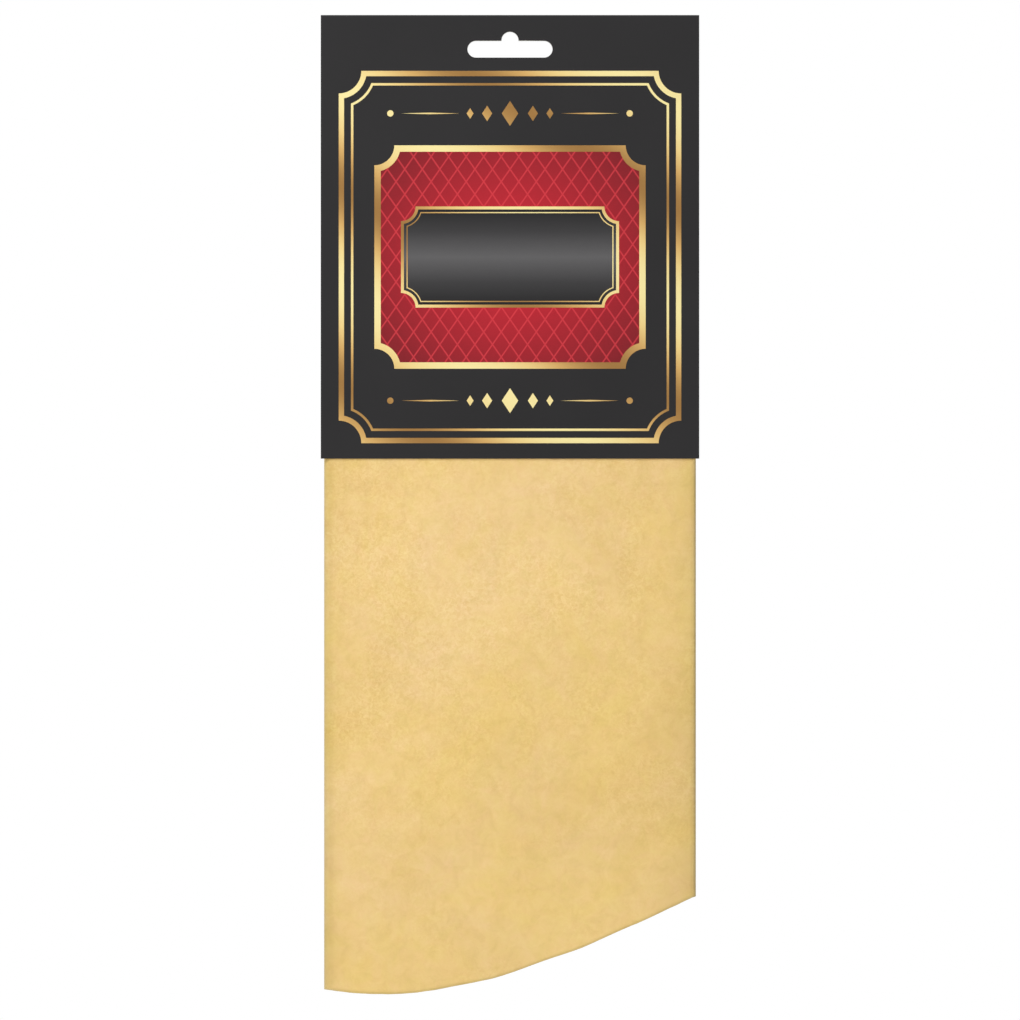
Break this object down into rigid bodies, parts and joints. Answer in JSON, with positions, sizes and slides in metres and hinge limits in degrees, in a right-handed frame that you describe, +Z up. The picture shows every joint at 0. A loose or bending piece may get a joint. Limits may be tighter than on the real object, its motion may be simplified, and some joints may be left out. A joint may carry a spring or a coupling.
{
  "type": "chamois leather in a header card",
  "caption": "Soft buff chamois leather folded to a narrow pad, hung from a creased black header card with a hang slot and a fold-up front panel.",
  "frame": {"origin": "top of the hang slot's bump, where a hook bears, halfway through the header's thickness", "axes": "+Z up along the hanging pack, +X to the right seen from the front, +Y to the back, away from the viewer"},
  "size_m": [0.1422, 0.0074, 0.3681],
  "materials": {
    "header_board": "black print with a satin coat outside, bare pale board inside",
    "chamois": "oil-tanned suede, velvety buff nap",
    "staple_wire": "galvanised wire"
  },
  "bodies": {
    "back_and_skin": {"header_back_panel": "header_board", "chamois_skin": "chamois", "staple_left": "staple_wire", "staple_right": "staple_wire"},
    "spine": {"header_spine": "header_board"},
    "front_flap": {"header_front_panel": "header_board"}
  },
  "joints": [
    {"name": "rear_crease", "type": "hinge", "parent": "back_and_skin", "child": "spine", "pos_m": [0, 0.00332, 0.0062], "axis": [-1, 0, 0], "range_deg": [0, 90]},
    {"name": "front_crease", "type": "hinge", "parent": "spine", "child": "front_flap", "pos_m": [0, -0.00332, 0.0062], "axis": [-1, 0, 0], "range_deg": [0, 90]}
  ]
}
